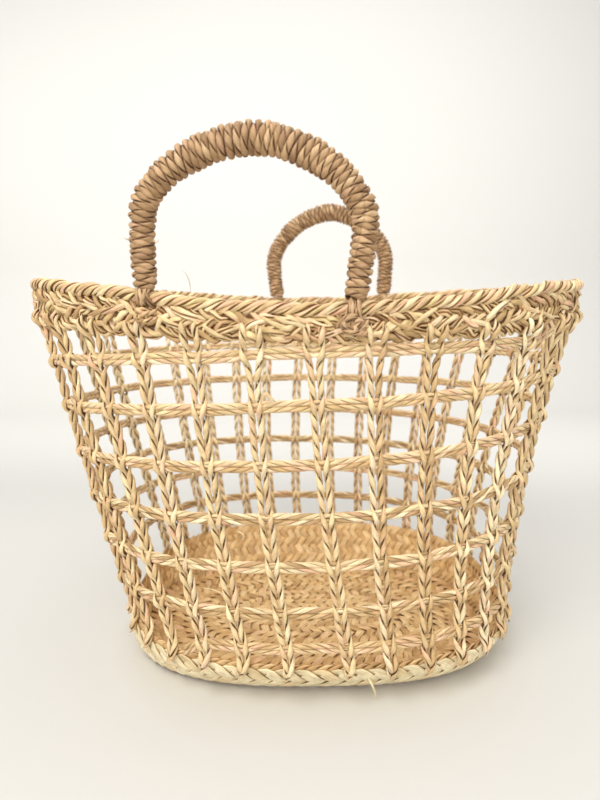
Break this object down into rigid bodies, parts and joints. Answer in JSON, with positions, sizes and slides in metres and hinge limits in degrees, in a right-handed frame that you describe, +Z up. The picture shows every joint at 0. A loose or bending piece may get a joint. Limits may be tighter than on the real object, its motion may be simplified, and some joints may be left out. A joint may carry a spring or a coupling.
{
  "type": "woven market basket",
  "caption": "Open-mesh oval carrying basket of twisted palm-leaf cord with a plaited base, a plaited rim and wrapped arch handles that swing at the rim.",
  "frame": {"origin": "on the ground plane, under the middle of the base", "axes": "+Z up, +X towards the basket's right along its long side, +Y towards its back; the front handle is on the -Y side"},
  "size_m": [0.4444, 0.3378, 0.3979],
  "materials": {
    "stake_cord": "dry twisted palm leaf, matt with a faint sheen",
    "weft_cord": "dry twisted palm leaf, matt with a faint sheen",
    "rim_plait": "coarse plaited palm leaf, matt",
    "base_plait": "flat plaited palm strips, matt",
    "handle_core": "stiff rope bundle, matt",
    "handle_wrap": "tightly wound twisted cord, matt"
  },
  "bodies": {
    "basket": {"base_centre_plait": "base_plait", "base_ring_plait": "base_plait", "tray_wall_plait": "base_plait", "weft_double_cord": "weft_cord", "stake_01": "stake_cord", "stake_02": "stake_cord", "stake_03": "stake_cord", "stake_04": "stake_cord", "stake_05": "stake_cord", "stake_06": "stake_cord", "stake_07": "stake_cord", "stake_08": "stake_cord", "stake_09": "stake_cord", "stake_10": "stake_cord", "stake_11": "stake_cord", "stake_12": "stake_cord", "stake_13": "stake_cord", "stake_14": "stake_cord", "stake_15": "stake_cord", "stake_16": "stake_cord", "stake_17": "stake_cord", "stake_18": "stake_cord", "stake_19": "stake_cord", "stake_20": "stake_cord", "stake_21": "stake_cord", "stake_22": "stake_cord", "stake_23": "stake_cord", "stake_24": "stake_cord", "stake_25": "stake_cord", "stake_26": "stake_cord", "stake_27": "stake_cord", "stake_28": "stake_cord", "stake_29": "stake_cord", "stake_30": "stake_cord", "stake_31": "stake_cord", "stake_32": "stake_cord", "rim_lower_plait": "rim_plait", "rim_middle_plait": "rim_plait", "rim_upper_plait": "rim_plait", "front_left_lashing": "handle_wrap", "front_right_lashing": "handle_wrap", "back_left_lashing": "handle_wrap", "back_right_lashing": "handle_wrap"},
    "front_handle": {"front_handle_core": "handle_core", "front_handle_wrap": "handle_wrap", "front_left_loop": "handle_wrap", "front_right_loop": "handle_wrap"},
    "back_handle": {"back_handle_core": "handle_core", "back_handle_wrap": "handle_wrap", "back_left_loop": "handle_wrap", "back_right_loop": "handle_wrap"}
  },
  "joints": [
    {"name": "front_handle_swing", "type": "hinge", "parent": "basket", "child": "front_handle", "pos_m": [-0.0461, -0.1486, 0.2772], "axis": [0.9923, -0.1086, -0.0593], "range_deg": [-50, 40], "stiffness_Nm_per_rad": 0.08},
    {"name": "back_handle_swing", "type": "hinge", "parent": "basket", "child": "back_handle", "pos_m": [0.02475, 0.15875, 0.29212], "axis": [-0.9963, 0.0828, -0.0225], "range_deg": [-50, 40], "stiffness_Nm_per_rad": 0.08}
  ]
}
